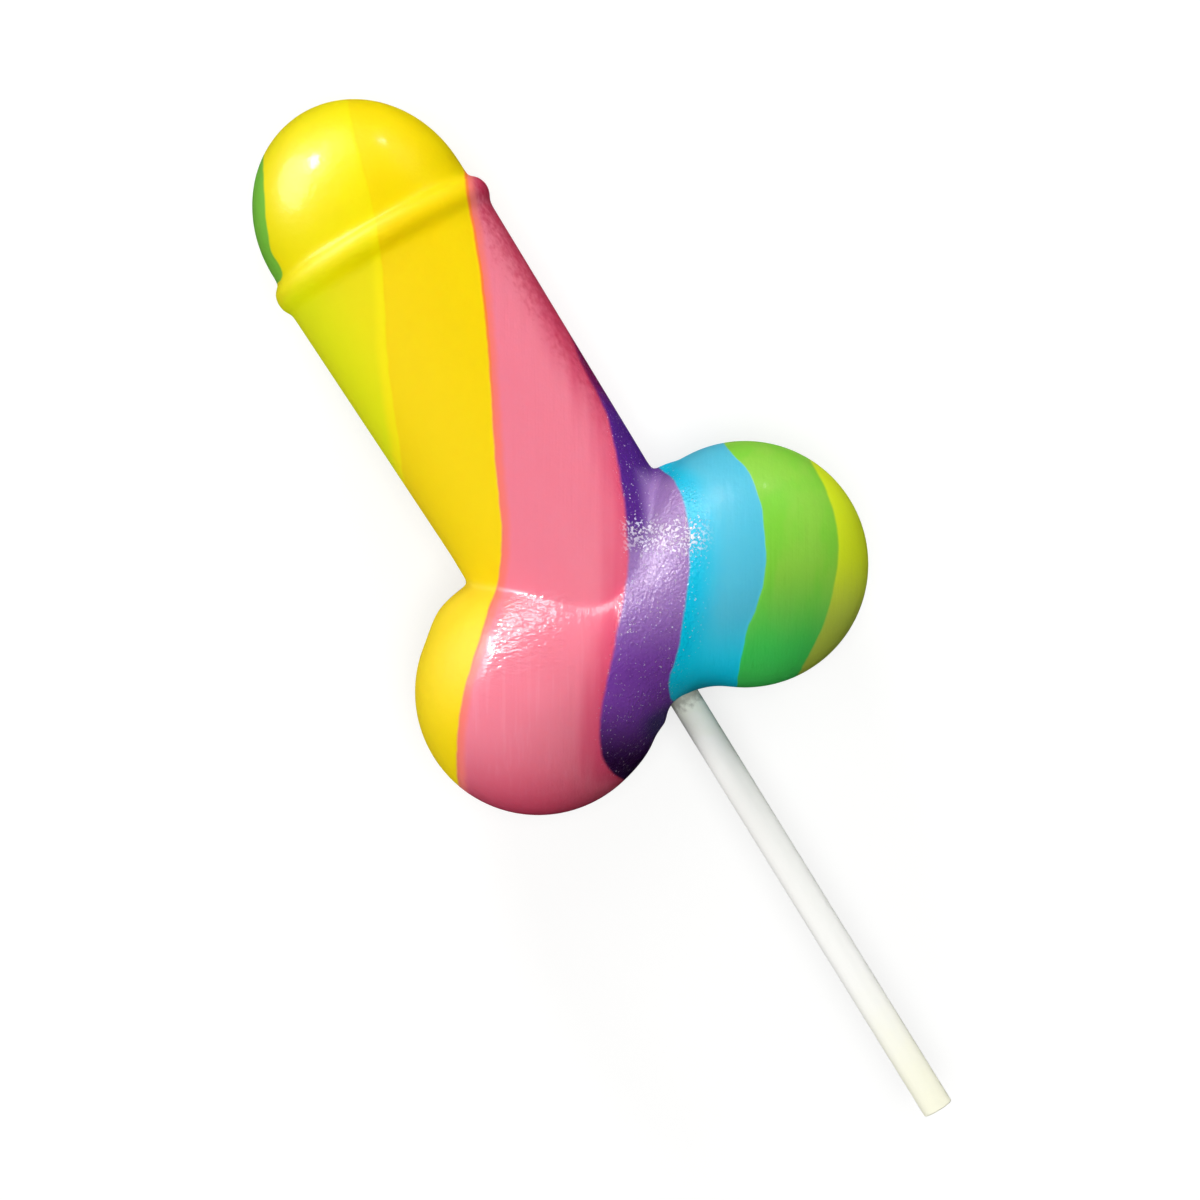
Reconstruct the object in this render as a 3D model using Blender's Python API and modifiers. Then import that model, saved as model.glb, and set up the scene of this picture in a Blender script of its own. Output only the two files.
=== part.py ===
"""A rainbow hard candy lollipop on a paper stick, lying on a table with its shown side up.

Lengths are in metres. +X runs from the candy's rounded tip to the free end of the stick,
+Z is up, and the origin is on the table under the middle of the whole lollipop.

The candy is one moulded form: two round lobes side by side, a shaft that runs out of them
to a domed tip, and a rim round the shaft below the dome. Coloured layers of candy run
through it from front to back. Each layer is cut from the whole form by a wavy upright slab.
"""
import bpy
import bmesh
from math import cos, pi, radians, sin, sqrt
from mathutils import Matrix, Vector
from mathutils.geometry import interpolate_bezier

MM = 0.001

# Overall reach along X, from the middle of the lobes to the tip and to the stick's end
TIP_REACH = 77.05 * MM
STICK_REACH = 70.6 * MM

# The two lobes, which are balls joined by a waist. The waist is full at the front and back,
# and narrow at the notch where the stick goes in.
LOBE_RADIUS = 15.43 * MM
LOBE_SPREAD = 15.17 * MM
WAIST_FRONT = 14.0 * MM
WAIST_NOTCH = 10.4 * MM

# The shaft tapers a little towards the lobes, where it ends in a blunt rounding
SHAFT_RADIUS_TOP = 14.3 * MM
SHAFT_RADIUS_ROOT = 13.25 * MM
SHAFT_ROOT = 5.0 * MM
ROOT_ROUNDING = 11.0 * MM

# The dome's round part ends in a short straight stretch that meets the rim
DOME_RADIUS = 13.69 * MM
DOME_LENGTH = 15.25 * MM
DOME_BASE = 59.0 * MM

# The rim is a rounded bead that sits slightly askew
RIM_RADIUS = 15.05 * MM
RIM_THICKNESS = 3.0 * MM
RIM_WIDENING = 1.33
RIM_PLACE = 57.7 * MM
RIM_SKEW = radians(-1.4)

# The shaft isn't quite in line with the stick: its axis passes these points beside
# the middle of the lobes and of the rim
ROOT_SIDE = -1.74 * MM
RIM_SIDE = -2.39 * MM
ROOT_HEIGHT = 13.9 * MM

# The balls and the rim rest on flat spots of this depth
REST_FLAT = 0.28 * MM

STICK_RADIUS = 2.0 * MM
STICK_DEPTH = 20.0 * MM
STICK_EDGE = 0.15 * MM

# Neighbouring pieces stay this far apart
GAP = 0.3 * MM

# The layers lie side by side, turned by this angle from the shaft's direction. Each boundary
# is a smooth line through points given as (along the layer, across the layers), in mm from
# the middle of the lobes.
LAYER_TURN = radians(-31.7)
BOUNDARIES = [
    # green to lemon, a sliver on the dome's side that ends above the rim
    [(-75, -48.6), (-56.2, -47.2), (-47.4, -46.3), (-43.6, -45.1), (-42.5, -46.4), (-42.2, -52)],
    # lemon to gold, from the dome down the shaft and out beside the lobe
    [(-75, -39), (-58.1, -35.1), (-48.9, -32.9), (-32.2, -31.6), (-19.8, -29.9),
     (-12, -29.6), (0, -29.5), (35, -29.5)],
    # gold to pink
    [(-75, -24), (-57, -22.2), (-43.5, -20.1), (-22.2, -18.4), (-8, -17.7), (0.2, -19.9),
     (10.2, -22.7), (20.2, -22.9), (35, -22)],
    # pink to purple
    [(-55, -14), (-34.1, -7.9), (-27.2, -4.6), (-22.2, -3.3), (-8.5, -1.7), (1.5, -3.3),
     (14, -4.9), (18.4, -4.4), (35, -3)],
    # purple to blue
    [(-45, 0.8), (-24, 0.8), (-20.4, 1.9), (-18.2, 4.2), (-13.5, 5.7), (-8.5, 6.0),
     (1.5, 4.8), (8.7, 3.6), (12.5, 4.0), (35, 5)],
    # blue to green
    [(-35, 6), (-22.5, 10.7), (-19, 13.7), (-11, 15.4), (-6, 15.3), (1.5, 12.9),
     (6.5, 12.0), (35, 11)],
    # green to lime
    [(-35, 14), (-20.7, 21.3), (-16, 23.5), (-11, 24.5), (-6.6, 24.3), (-1, 22.9),
     (5.5, 19.8), (20, 13)],
]
LAYER_REACH = (-75, 45)
BOUNDARY_STEPS = 4

# Colours as seen, in sRGB
LAYERS = [
    ("layer_1_green", (0.45, 0.75, 0.27)),
    ("layer_2_lemon", (0.96, 0.93, 0.00)),
    ("layer_3_gold", (1.00, 0.84, 0.00)),
    ("layer_4_pink", (0.97, 0.50, 0.58)),
    ("layer_5_purple", (0.47, 0.25, 0.60)),
    ("layer_6_blue", (0.12, 0.71, 0.88)),
    ("layer_7_green", (0.42, 0.76, 0.25)),
    ("layer_8_lime", (0.72, 0.80, 0.18)),
]
STICK_COLOUR = (0.94, 0.93, 0.88)

# How finely round forms are divided
TURN_STEPS = 48
LOBE_CAP_STEPS = 9
LOBE_WAIST_STEPS = 16
DOME_STEPS = 10
SHAFT_STEPS = 5
ROOT_STEPS = 6
RIM_STEPS = 12
STICK_STEPS = 24

LOBES = Vector(((TIP_REACH - STICK_REACH) / 2, 0, LOBE_RADIUS - REST_FLAT))


def clear_scene():
    for item in list(bpy.data.objects):
        bpy.data.objects.remove(item)


def new_collection(name):
    collection = bpy.data.collections.new(name)
    bpy.context.scene.collection.children.link(collection)
    return collection


def linear(channel):
    """One sRGB channel as the linear value that a shader takes."""
    if channel <= 0.04045:
        return channel / 12.92
    return ((channel + 0.055) / 1.055) ** 2.4


def material(name, colour, roughness):
    made = bpy.data.materials.new(name)
    made.use_nodes = True
    shader = made.node_tree.nodes["Principled BSDF"]
    shader.inputs["Base Color"].default_value = [linear(value) for value in colour] + [1.0]
    shader.inputs["Roughness"].default_value = roughness
    shader.inputs["Metallic"].default_value = 0.0
    made.diffuse_color = [*colour, 1.0]
    return made


def add_object(name, data, collection):
    item = bpy.data.objects.new(name, data)
    collection.objects.link(item)
    return item


def as_guide(item):
    item.hide_render = True
    item.display_type = "WIRE"
    return item


def evaluated_mesh(item, name):
    """The item's mesh with its modifiers, in world space, closed where its rows meet."""
    bpy.context.view_layer.update()
    graph = bpy.context.evaluated_depsgraph_get()
    mesh = bpy.data.meshes.new_from_object(item.evaluated_get(graph))
    mesh.name = name
    mesh.transform(item.matrix_world)
    shape = bmesh.new()
    shape.from_mesh(mesh)
    bmesh.ops.remove_doubles(shape, verts=shape.verts, dist=0.001 * MM)
    bmesh.ops.recalc_face_normals(shape, faces=shape.faces)
    shape.to_mesh(mesh)
    shape.free()
    return mesh


def turned(name, profile, collection, place):
    """A solid turned about the local Z axis from (radius, height) points, top to bottom."""
    mesh = bpy.data.meshes.new(name)
    points = [(radius, 0, height) for radius, height in profile]
    edges = [(i, i + 1) for i in range(len(points) - 1)]
    mesh.from_pydata(points, edges, [])
    item = add_object(name, mesh, collection)
    screw = item.modifiers.new("turn", "SCREW")
    screw.axis = "Z"
    screw.steps = TURN_STEPS
    screw.render_steps = TURN_STEPS
    screw.use_merge_vertices = True
    screw.merge_threshold = 0.001 * MM
    item.matrix_world = place
    solid = add_object(name + "_solid", evaluated_mesh(item, name), collection)
    bpy.data.objects.remove(item)
    return as_guide(solid)


def lobe_reach(side, waist):
    """How far the lobes reach from their middle line, at a place to one side.

    Two balls are joined by a hollow arc that touches both and leaves the given waist.
    """
    arc = (LOBE_SPREAD ** 2 + waist ** 2 - LOBE_RADIUS ** 2) / (2 * (LOBE_RADIUS - waist))
    arc_end = LOBE_SPREAD * arc / (arc + LOBE_RADIUS)
    side = abs(side)
    if side < arc_end:
        return waist + arc - sqrt(arc ** 2 - side ** 2)
    return sqrt(max(LOBE_RADIUS ** 2 - (side - LOBE_SPREAD) ** 2, 0))


def make_lobes(collection):
    """The two joined balls, turned about Y and then narrowed at the notch."""
    cap = [LOBE_SPREAD + LOBE_RADIUS * cos(pi / 2 * i / LOBE_CAP_STEPS) for i in range(LOBE_CAP_STEPS)]
    middle = [LOBE_SPREAD * (1 - 2 * i / LOBE_WAIST_STEPS) for i in range(LOBE_WAIST_STEPS + 1)]
    sides = cap + middle + [-side for side in reversed(cap)]
    profile = [(lobe_reach(side, WAIST_FRONT), side) for side in sides]
    place = Matrix.Translation(LOBES) @ Matrix.Rotation(radians(-90), 4, "X")
    lobes = turned("lobes", profile, collection, place)
    for corner in lobes.data.vertices:
        front = lobe_reach(corner.co.y, WAIST_FRONT)
        if front > 0:
            narrowed = lobe_reach(corner.co.y, WAIST_NOTCH) / front
            corner.co.x = LOBES.x + (corner.co.x - LOBES.x) * narrowed
    return lobes


def shaft_frame():
    """The shaft's own frame: its origin is at the lobes and its +Z runs out to the tip."""
    root = LOBES + Vector((0, ROOT_SIDE, 0))
    root.z = ROOT_HEIGHT
    rim = LOBES + Vector((-RIM_PLACE, RIM_SIDE, 0))
    rim.z = RIM_RADIUS - REST_FLAT
    turn = (rim - root).to_track_quat("Z", "Y")
    return Matrix.Translation(root) @ turn.to_matrix().to_4x4()


def make_shaft(collection):
    """The dome and the tapered shaft in one turned profile, from the tip down."""
    dome_start = TIP_REACH - DOME_LENGTH
    profile = []
    for i in range(DOME_STEPS + 1):
        angle = pi / 2 * i / DOME_STEPS
        profile.append((DOME_RADIUS * sin(angle), dome_start + DOME_LENGTH * cos(angle)))
    profile.append((DOME_RADIUS, DOME_BASE))
    for i in range(SHAFT_STEPS + 1):
        share = i / SHAFT_STEPS
        radius = SHAFT_RADIUS_TOP + (SHAFT_RADIUS_ROOT - SHAFT_RADIUS_TOP) * share
        profile.append((radius, RIM_PLACE + (SHAFT_ROOT - RIM_PLACE) * share))
    for i in range(1, ROOT_STEPS + 1):
        angle = pi / 2 * i / ROOT_STEPS
        profile.append((SHAFT_RADIUS_ROOT * cos(angle), SHAFT_ROOT - ROOT_ROUNDING * sin(angle)))
    profile[0] = (0, TIP_REACH)
    profile[-1] = (0, SHAFT_ROOT - ROOT_ROUNDING)
    return turned("shaft", profile, collection, shaft_frame())


def make_rim(collection):
    """The raised bead below the dome: a torus, widened along the shaft and skewed."""
    half = RIM_THICKNESS / 2
    bpy.ops.mesh.primitive_torus_add(
        major_radius=RIM_RADIUS - half, minor_radius=half,
        major_segments=TURN_STEPS, minor_segments=RIM_STEPS)
    rim = bpy.context.active_object
    rim.name = "rim"
    for owner in list(rim.users_collection):
        owner.objects.unlink(rim)
    collection.objects.link(rim)
    place = LOBES + Vector((-RIM_PLACE, RIM_SIDE, 0))
    place.z = RIM_RADIUS - REST_FLAT
    across = Matrix.Rotation(RIM_SKEW, 4, "Z") @ Matrix.Rotation(radians(90), 4, "Y")
    rim.data.transform(Matrix.Translation(place) @ across @ Matrix.Scale(RIM_WIDENING, 4, (0, 0, 1)))
    return as_guide(rim)


def make_table(collection):
    """A block with its top on the ground, which cuts the flat spots that the candy rests on."""
    size = 2 * TIP_REACH
    mesh = bpy.data.meshes.new("table")
    shape = bmesh.new()
    bmesh.ops.create_cube(shape, size=size)
    bmesh.ops.translate(shape, verts=shape.verts, vec=(0, 0, -size / 2))
    shape.to_mesh(mesh)
    shape.free()
    return as_guide(add_object("table", mesh, collection))


def rod(name, radius, start, end, collection):
    """A cylinder along X at the stick's height, between two distances from the lobes' middle."""
    mesh = bpy.data.meshes.new(name)
    shape = bmesh.new()
    bmesh.ops.create_cone(shape, cap_ends=True, segments=STICK_STEPS, radius1=radius,
                          radius2=radius, depth=end - start)
    middle = LOBES + Vector(((start + end) / 2, 0, 0))
    shape.transform(Matrix.Translation(middle) @ Matrix.Rotation(radians(90), 4, "Y"))
    shape.to_mesh(mesh)
    shape.free()
    return add_object(name, mesh, collection)


def combine(item, other, operation):
    join = item.modifiers.new(operation.lower() + "_" + other.name, "BOOLEAN")
    join.object = other
    join.operation = operation
    join.solver = "EXACT"


def make_candy(collection):
    """The whole candy form, with flat spots to rest on and a blind hole for the stick."""
    candy = make_lobes(collection)
    combine(candy, make_shaft(collection), "UNION")
    combine(candy, make_rim(collection), "UNION")
    combine(candy, make_table(collection), "DIFFERENCE")
    inner_end = WAIST_NOTCH - STICK_DEPTH - GAP
    hole = rod("stick_hole", STICK_RADIUS + GAP, inner_end, 2 * LOBE_RADIUS, collection)
    combine(candy, as_guide(hole), "DIFFERENCE")
    return candy


def smooth_line(points):
    """Points on a smooth line through the given ones."""
    knots = [Vector((along, across, 0)) * MM for along, across in points]
    line = [knots[0]]
    for i in range(len(knots) - 1):
        here, there = knots[i], knots[i + 1]
        before = knots[max(i - 1, 0)]
        after = knots[min(i + 2, len(knots) - 1)]
        reach = (there - here).length / 3
        leave = here + (there - before).normalized() * reach
        arrive = there - (after - here).normalized() * reach
        line += interpolate_bezier(here, leave, arrive, there, BOUNDARY_STEPS + 1)[1:]
    return line


def make_slab(name, left, right, collection):
    """An upright slab of one layer's outline, between its two boundaries."""
    aside = Vector((0, GAP / 2, 0))
    outline = [point + aside for point in left] + [point - aside for point in reversed(right)]
    curve = bpy.data.curves.new(name, "CURVE")
    curve.dimensions = "2D"
    curve.fill_mode = "BOTH"
    curve.extrude = 2 * LOBE_RADIUS
    spline = curve.splines.new("POLY")
    spline.points.add(len(outline) - 1)
    for place, point in zip(spline.points, outline):
        place.co = (*point, 1)
    spline.use_cyclic_u = True
    drawn = add_object(name, curve, collection)
    drawn.matrix_world = Matrix.Translation(LOBES) @ Matrix.Rotation(LAYER_TURN, 4, "Z")
    slab = add_object(name + "_solid", evaluated_mesh(drawn, name), collection)
    bpy.data.objects.remove(drawn)
    return as_guide(slab)


def make_layers(candy, collection, cutters):
    """One solid for each colour, cut from the candy."""
    low, high = LAYER_REACH
    start = BOUNDARIES[0][0][0]
    end = BOUNDARIES[1][-1][0]
    lines = [smooth_line([(start, low), (end, low)])]
    lines += [smooth_line(points) for points in BOUNDARIES]
    lines += [smooth_line([(start, high), (end, high)])]
    whole = evaluated_mesh(candy, "candy")
    for (name, colour), left, right in zip(LAYERS, lines, lines[1:]):
        layer = add_object(name, whole.copy(), collection)
        combine(layer, make_slab("slab_" + name, left, right, cutters), "INTERSECT")
        layer.data.materials.clear()
        layer.data.materials.append(material(name, colour, 0.18))
        layer.data.shade_smooth()
        layer.data.set_sharp_from_angle(angle=radians(35))


def make_stick(collection):
    """The rolled paper stick, pushed into its hole."""
    stick = rod("stick", STICK_RADIUS, WAIST_NOTCH - STICK_DEPTH, STICK_REACH, collection)
    edge = stick.modifiers.new("edge", "BEVEL")
    edge.width = STICK_EDGE
    edge.segments = 2
    edge.limit_method = "ANGLE"
    stick.data.materials.append(material("stick", STICK_COLOUR, 0.75))
    stick.data.shade_smooth()
    stick.data.set_sharp_from_angle(angle=radians(35))


def main():
    clear_scene()
    lollipop = new_collection("lollipop")
    cutters = new_collection("cutters")
    make_layers(make_candy(cutters), lollipop, cutters)
    make_stick(lollipop)


main()
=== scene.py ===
# %% [markdown]
# # A rainbow hard candy lollipop
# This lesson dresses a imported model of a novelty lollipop: one moulded piece of hard candy
# with coloured layers that run through it, on a rolled paper stick. It lies on a pale floor
# and the camera looks straight down on it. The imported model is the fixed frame. It gives
# every size and place below, so that the pieces fit without any adjusting.

# %% Load the frame
from math import cos, pi, radians, sin, sqrt

import bmesh
import bpy
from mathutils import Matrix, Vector


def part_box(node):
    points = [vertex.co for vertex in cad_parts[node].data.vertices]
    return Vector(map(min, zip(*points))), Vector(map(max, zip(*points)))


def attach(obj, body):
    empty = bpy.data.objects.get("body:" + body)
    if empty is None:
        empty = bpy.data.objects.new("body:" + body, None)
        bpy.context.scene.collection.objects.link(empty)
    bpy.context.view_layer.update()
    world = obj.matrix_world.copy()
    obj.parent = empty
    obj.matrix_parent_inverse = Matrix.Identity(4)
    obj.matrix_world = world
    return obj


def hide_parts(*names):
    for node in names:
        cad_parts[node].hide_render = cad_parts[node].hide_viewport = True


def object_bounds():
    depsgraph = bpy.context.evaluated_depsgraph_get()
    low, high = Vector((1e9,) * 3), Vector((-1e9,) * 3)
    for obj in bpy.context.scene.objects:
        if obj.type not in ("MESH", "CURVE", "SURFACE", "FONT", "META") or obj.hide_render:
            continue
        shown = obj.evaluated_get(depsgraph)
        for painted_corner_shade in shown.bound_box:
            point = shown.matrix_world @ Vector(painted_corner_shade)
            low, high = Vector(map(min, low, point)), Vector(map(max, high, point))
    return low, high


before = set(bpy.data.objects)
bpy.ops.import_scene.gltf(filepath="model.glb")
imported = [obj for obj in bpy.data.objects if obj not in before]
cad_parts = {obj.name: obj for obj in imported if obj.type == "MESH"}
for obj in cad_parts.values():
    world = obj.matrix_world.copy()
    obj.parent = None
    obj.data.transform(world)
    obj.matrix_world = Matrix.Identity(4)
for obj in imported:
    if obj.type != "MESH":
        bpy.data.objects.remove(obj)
cad_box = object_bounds()
MM = 0.001
print("frame box in mm:", [[round(value / MM, 2) for value in painted_corner_shade] for painted_corner_shade in cad_box])

# %% [markdown]
# ## The sizes that everything hangs on
# A maker of this lollipop would name few sizes: the balls, the distance between them, how
# far the shaft reaches, and the stick. They are read from the boxes of the frame's nodes.
# The stick's axis runs through the middle of the balls, so its height is theirs too.

# %% Read the driving sizes
stick_low, stick_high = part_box("stick")
pink_low, pink_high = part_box("layer_4_pink")
STICK_RADIUS = (stick_high[2] - stick_low[2]) / 2
STICK_END = stick_high[0]
LOBE_HEIGHT = (stick_high[2] + stick_low[2]) / 2
LOBE_RADIUS = cad_box[1][2] - LOBE_HEIGHT
LOBE_SPREAD = cad_box[1][1] - LOBE_RADIUS
LOBES = Vector((pink_high[0] - LOBE_RADIUS, 0, LOBE_HEIGHT))
TIP_REACH = LOBES.x - cad_box[0][0]
REST_FLAT = LOBE_RADIUS - LOBE_HEIGHT
print("lobe radius", round(LOBE_RADIUS / MM, 2), "spread", round(LOBE_SPREAD / MM, 2))

# %% [markdown]
# ## The camera
# The picture is taken from straight above, with the lollipop lying aslant: the stick points
# to the lower right. A long lens keeps the outline flat, as in the picture. The camera's
# place follows from the picture's scale: 8 pixels of a 1200 pixel frame to a millimetre, at
# the height of the balls' middle, which is where the outline lies.

# %% Place the camera
FRAME_PIXELS = 1200
PIXELS_PER_MM = 8.0
LOBES_IN_PICTURE = Vector((641.6, 628.0))
PICTURE_TURN = radians(58.3)
LENS = 135.0
SENSOR = 36.0

right = Vector((cos(PICTURE_TURN), sin(PICTURE_TURN), 0))
up = Vector((-sin(PICTURE_TURN), cos(PICTURE_TURN), 0))
off_middle = (Vector((FRAME_PIXELS / 2, FRAME_PIXELS / 2)) - LOBES_IN_PICTURE) / PIXELS_PER_MM * MM
view_width = FRAME_PIXELS / PIXELS_PER_MM * MM
view_distance = view_width * LENS / SENSOR
aim = LOBES + right * off_middle.x - up * off_middle.y

camera_data = bpy.data.cameras.new("camera")
camera_data.lens = LENS
camera_data.sensor_width = SENSOR
camera = bpy.data.objects.new("camera", camera_data)
bpy.context.scene.collection.objects.link(camera)
camera.location = aim + Vector((0, 0, view_distance))
camera.rotation_euler = (0, 0, PICTURE_TURN)
bpy.context.scene.camera = camera
print("camera height in mm:", round(camera.location.z / MM, 1))

# %% [markdown]
# ## Tools of the hand
# Each operator works on what is selected, so a few short helpers select one object, or the
# points of it that lie in a wanted place, before an operator runs.

# %% Selecting helpers


def only(item):
    """Select one object alone and make it the active one."""
    bpy.ops.object.select_all(action="DESELECT")
    item.select_set(True)
    bpy.context.view_layer.objects.active = item


def select_points(item, wanted):
    """In edit mode, select exactly the points whose place is wanted."""
    shape = bmesh.from_edit_mesh(item.data)
    for point in shape.verts:
        point.select_set(False)
    for point in shape.verts:
        if wanted(point.co):
            point.select_set(True)
    shape.select_flush_mode()
    bmesh.update_edit_mesh(item.data)


def apply_modifier(item, kind, **settings):
    """Add a modifier, set it up and apply it."""
    only(item)
    modifier = item.modifiers.new(kind.lower(), kind)
    for name, value in settings.items():
        setattr(modifier, name, value)
    bpy.ops.object.modifier_apply(modifier=modifier.name)


def combine(item, other, operation):
    """Join or cut one closed form with another, which is used up."""
    apply_modifier(item, "BOOLEAN", object=other, operation=operation, solver="EXACT")
    bpy.data.objects.remove(other)


# %% [markdown]
# ## A lathe
# The candy's forms are all round about some line, as if they came from a lathe. By hand, one
# starts with a single vertex, extrudes it along the outline, and spins the outline round the
# axis. The last row lands on the first, so doubles are merged and the faces turned outwards.
# The stick's cross-section is drawn with the same pencil later on.

# %% The pencil and the lathe
LATHE_STEPS = 128
SEAM_GAP = 0.002 * MM


def draw_line(name, points):
    """Extrude a vertex along the points. The new object stays in edit mode, all selected."""
    bpy.ops.object.select_all(action="DESELECT")
    bpy.ops.mesh.primitive_plane_add(size=MM)
    item = bpy.context.active_object
    item.name = name
    bpy.ops.object.mode_set(mode="EDIT")
    bpy.ops.mesh.select_mode(type="VERT")
    bpy.ops.mesh.select_all(action="SELECT")
    bpy.ops.mesh.merge(type="CENTER")
    bpy.ops.transform.translate(value=points[0])
    for here, there in zip(points, points[1:]):
        bpy.ops.mesh.extrude_region_move(TRANSFORM_OT_translate={"value": there - here})
    bpy.ops.mesh.select_all(action="SELECT")
    return item


def lathe(name, outline, centre, axis):
    """Draw an outline and spin it once round the axis."""
    item = draw_line(name, outline)
    bpy.ops.mesh.spin(steps=LATHE_STEPS, angle=2 * pi, center=centre, axis=axis)
    bpy.ops.mesh.select_all(action="SELECT")
    bpy.ops.mesh.remove_doubles(threshold=SEAM_GAP)
    bpy.ops.mesh.normals_make_consistent(inside=False)
    bpy.ops.object.mode_set(mode="OBJECT")
    return item


# %% [markdown]
# ## The lobes
# On the real sweet the two balls flow into each other over a waist, which is full at the
# front and the back and narrow at the notch where the stick goes in. Two spheres would leave
# a sharp crease, so the balls and the waist are one outline: a ball, a hollow arc that
# touches both balls, and the other ball. Spun round the line through both balls it gives the
# full waist, and each ring is then squeezed along the stick to make the notch.

# %% Shape the lobes
WAIST_FRONT = 14.0 * MM
WAIST_NOTCH = 10.0 * MM
CAP_RINGS = 20
WAIST_RINGS = 40


def lobe_reach(side, waist):
    """The distance from the lobes' middle line to their surface, at a place to one side."""
    arc = (LOBE_SPREAD ** 2 + waist ** 2 - LOBE_RADIUS ** 2) / (2 * (LOBE_RADIUS - waist))
    arc_end = LOBE_SPREAD * arc / (arc + LOBE_RADIUS)
    side = abs(side)
    if side < arc_end:
        return waist + arc - sqrt(arc ** 2 - side ** 2)
    return sqrt(max(LOBE_RADIUS ** 2 - (side - LOBE_SPREAD) ** 2, 0))


cap = [LOBE_SPREAD + LOBE_RADIUS * cos(pi / 2 * i / CAP_RINGS) for i in range(CAP_RINGS)]
middle = [LOBE_SPREAD * (1 - 2 * i / WAIST_RINGS) for i in range(WAIST_RINGS + 1)]
lobe_sides = cap + middle + [-side for side in reversed(cap)]
lobe_outline = [LOBES + Vector((0, side, lobe_reach(side, WAIST_FRONT))) for side in lobe_sides]
candy = lathe("candy", lobe_outline, LOBES, (0, 1, 0))

bpy.ops.object.mode_set(mode="EDIT")
for side in middle:
    narrowed = lobe_reach(side, WAIST_NOTCH) / lobe_reach(side, WAIST_FRONT)
    select_points(candy, lambda place: abs(place.y - side) < 0.01 * MM)
    bpy.ops.transform.resize(value=(narrowed, 1, 1), center_override=LOBES)
bpy.ops.object.mode_set(mode="OBJECT")
print("lobes:", len(candy.data.vertices), "points")

# %% [markdown]
# ## The shaft and its dome
# The shaft is a slightly tapered rod with a domed tip. It isn't quite in line with the
# stick, and it dips a little towards the balls, so it gets its own frame: the origin at its
# root and +Z out to the tip. Its hidden end is rounded, so that it dies away inside the balls.

# %% Turn the shaft
SHAFT_RADIUS_TOP = 14.3 * MM
SHAFT_RADIUS_ROOT = 13.25 * MM
SHAFT_ROOT = 5.0 * MM
ROOT_ROUNDING = 11.0 * MM
DOME_RADIUS = 13.69 * MM
DOME_LENGTH = 15.25 * MM
DOME_BASE = 59.0 * MM
RIM_RADIUS = 15.05 * MM
RIM_PLACE = 57.7 * MM
ROOT_SIDE = -1.74 * MM
RIM_SIDE = -2.39 * MM
ROOT_HEIGHT = 13.9 * MM
ARC_STEPS = 24

root = Vector((LOBES.x, ROOT_SIDE, ROOT_HEIGHT))
rim_middle = Vector((LOBES.x - RIM_PLACE, RIM_SIDE, RIM_RADIUS - REST_FLAT))
shaft_axis = (rim_middle - root).normalized()
shaft_side = shaft_axis.cross(Vector((0, 0, 1))).normalized()

shaft_profile = []
for i in range(ARC_STEPS + 1):
    angle = pi / 2 * i / ARC_STEPS
    shaft_profile.append((DOME_RADIUS * sin(angle), TIP_REACH - DOME_LENGTH * (1 - cos(angle))))
shaft_profile.append((DOME_RADIUS, DOME_BASE))
shaft_profile.append((SHAFT_RADIUS_TOP, RIM_PLACE))
shaft_profile.append((SHAFT_RADIUS_ROOT, SHAFT_ROOT))
for i in range(1, ARC_STEPS + 1):
    angle = pi / 2 * i / ARC_STEPS
    shaft_profile.append((SHAFT_RADIUS_ROOT * cos(angle), SHAFT_ROOT - ROOT_ROUNDING * sin(angle)))
shaft_outline = [root + shaft_side * radius + shaft_axis * along for radius, along in shaft_profile]
shaft = lathe("shaft", shaft_outline, root, shaft_axis)
print("shaft:", len(shaft.data.vertices), "points")

# %% [markdown]
# ## The rim
# Below the dome a soft bead runs round the shaft. A torus is the plain start for it. It is
# stretched along the shaft, because the real bead is wider than it is high, and skewed by a
# little more than a degree.

# %% Add the rim
RIM_THICKNESS = 3.0 * MM
RIM_WIDENING = 1.33
RIM_SKEW = radians(-1.4)
RIM_SEGMENTS = 32

bpy.ops.object.select_all(action="DESELECT")
bpy.ops.mesh.primitive_torus_add(
    location=rim_middle, rotation=(0, pi / 2, RIM_SKEW), major_segments=LATHE_STEPS,
    minor_segments=RIM_SEGMENTS, major_radius=RIM_RADIUS - RIM_THICKNESS / 2,
    minor_radius=RIM_THICKNESS / 2)
rim = bpy.context.active_object
bpy.ops.object.mode_set(mode="EDIT")
bpy.ops.transform.resize(value=(RIM_WIDENING, 1, 1), center_override=rim_middle)
bpy.ops.object.mode_set(mode="OBJECT")
print("rim:", len(rim.data.vertices), "points")

# %% [markdown]
# ## One piece of candy
# The forms are joined into one closed body, and the hole for the stick is drilled. The hole
# is a hair tighter than the stick, because the candy sets round it. Then the body is remade
# of small even squares, which lets the smoothing round the creases off as the mould and the
# pouring do.

# %% Join, drill and soften
HOLE_SHRINK = 0.06 * MM
HOLE_SIDES = 64
STICK_START = stick_low[0] - LOBES.x
DRILL_END = LOBE_RADIUS * 2
VOXEL = 0.41 * MM
SMOOTHING = 0.5
SMOOTH_PASSES = 14

combine(candy, shaft, "UNION")
combine(candy, rim, "UNION")

bpy.ops.object.select_all(action="DESELECT")
bpy.ops.mesh.primitive_cylinder_add(
    vertices=HOLE_SIDES, radius=STICK_RADIUS - HOLE_SHRINK, depth=DRILL_END - STICK_START,
    location=LOBES + Vector(((STICK_START + DRILL_END) / 2, 0, 0)), rotation=(0, pi / 2, 0))
drill = bpy.context.active_object
combine(candy, drill, "DIFFERENCE")

only(candy)
candy.data.remesh_voxel_size = VOXEL
bpy.ops.object.voxel_remesh()
apply_modifier(candy, "SMOOTH", factor=SMOOTHING, iterations=SMOOTH_PASSES)
print("candy:", len(candy.data.polygons), "squares")

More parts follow.
